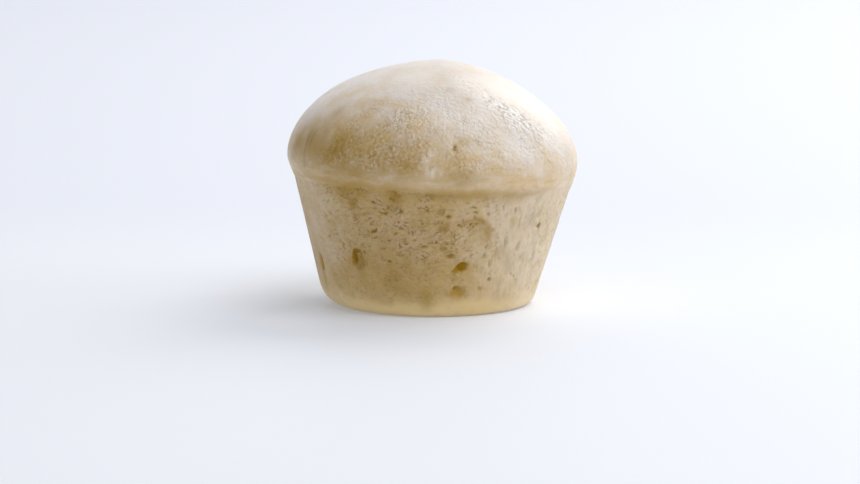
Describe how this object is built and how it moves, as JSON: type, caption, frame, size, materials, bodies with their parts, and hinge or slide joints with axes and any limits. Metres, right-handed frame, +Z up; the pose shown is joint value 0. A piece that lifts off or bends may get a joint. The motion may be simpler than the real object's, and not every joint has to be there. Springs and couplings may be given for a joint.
{
  "type": "steamed bun",
  "caption": "Steamed bun risen in a plain muffin cup: a flat round base, a tapered side of open crumb, and a smooth dome whose lip hangs a little over the side.",
  "frame": {"origin": "on the surface that the bun stands on, under the middle of its bounding box", "axes": "+Z up through the crown, -Y towards the side shown at the front, +X to its right"},
  "size_m": [0.0722, 0.0726, 0.0607],
  "materials": {
    "steamed_dough": "soft moist steamed dough: satin skin on the dome, fine open crumb on the side"
  },
  "bodies": {
    "root": {"bun": "steamed_dough"}
  },
  "joints": []
}
